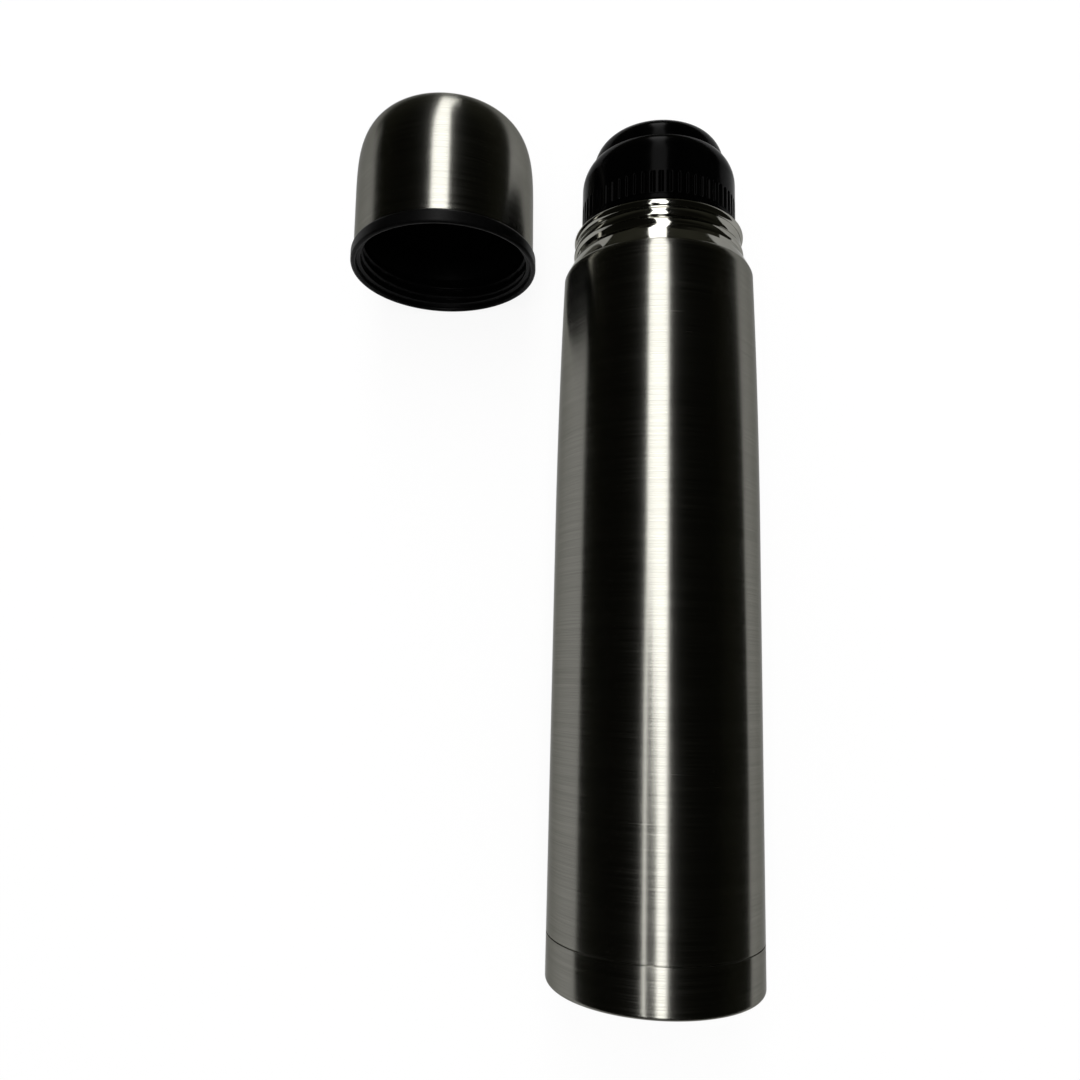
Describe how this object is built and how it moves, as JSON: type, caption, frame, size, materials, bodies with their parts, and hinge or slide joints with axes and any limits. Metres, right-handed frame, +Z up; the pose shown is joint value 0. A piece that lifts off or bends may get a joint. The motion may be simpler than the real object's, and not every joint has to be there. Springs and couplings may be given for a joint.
{
  "type": "vacuum flask with cup",
  "caption": "Slim stainless vacuum flask lying on its side with a push-button pouring stopper in its threaded neck and its domed drinking cup beside it.",
  "frame": {"origin": "centre of the flask's flat base, on the flask's axis", "axes": "+Y along the flask from its base to its mouth, +Z up from the surface that the flask and the cup lie on, +X to the side away from the cup"},
  "size_m": [0.1527, 0.3124, 0.072],
  "materials": {
    "brushed_stainless": "satin stainless with fine brush lines round the axis, clear lengthwise highlight",
    "polished_stainless": "mirror-polished stainless",
    "raw_stainless": "plain rolled stainless sheet, hidden in the wall",
    "black_gloss_plastic": "glossy black moulded polypropylene",
    "black_liner_plastic": "satin black moulded polypropylene",
    "dark_moulding": "satin dark moulded polypropylene",
    "silicone": "soft translucent white silicone",
    "nitrile": "matt black O-ring rubber",
    "foam": "light open-grained insulating foam",
    "spring_wire": "drawn stainless spring wire",
    "getter_alloy": "dull sintered metal",
    "braze": "dull solder bead"
  },
  "bodies": {
    "flask": {"outer_shell": "brushed_stainless", "base_cover": "brushed_stainless", "outer_bottom": "raw_stainless", "vacuum_seal": "braze", "getter": "getter_alloy", "neck_collar": "polished_stainless", "inner_bottle": "polished_stainless", "inner_bottom": "polished_stainless"},
    "stopper_gasket": {"neck_gasket": "silicone"},
    "stopper": {"stopper_cap": "black_gloss_plastic", "stopper_plug": "dark_moulding", "stem_seal": "nitrile", "spring_washer": "raw_stainless", "stopper_insulation": "foam", "return_spring": "spring_wire"},
    "button": {"push_button": "black_gloss_plastic", "valve_stem": "dark_moulding", "valve_disc": "dark_moulding", "valve_seal": "silicone"},
    "cup": {"cup_shell": "brushed_stainless", "cup_liner": "black_liner_plastic"}
  },
  "joints": [
    {"name": "stopper_lift", "type": "slide", "parent": "flask", "child": "stopper_gasket", "axis": [0, 1, 0], "range_m": [0, 0.008]},
    {"name": "stopper_turn", "type": "hinge", "parent": "stopper_gasket", "child": "stopper", "pos_m": [0, 0.26, 0], "axis": [0, 1, 0], "range_deg": [0, 720]},
    {"name": "button_press", "type": "slide", "parent": "stopper", "child": "button", "axis": [0, -1, 0], "range_m": [0, 0.0045], "stiffness_N_per_m": 900, "springref_m": -0.004, "deforming": ["return_spring"]},
    {"name": "cup_lift", "type": "slide", "parent": "flask", "child": "cup", "axis": [0, 0, 1], "range_m": [0, 0.12]}
  ],
  "couplings": [
    {"joint": "stopper_lift", "follows": "stopper_turn", "m_per_rad": 0.00063662}
  ]
}
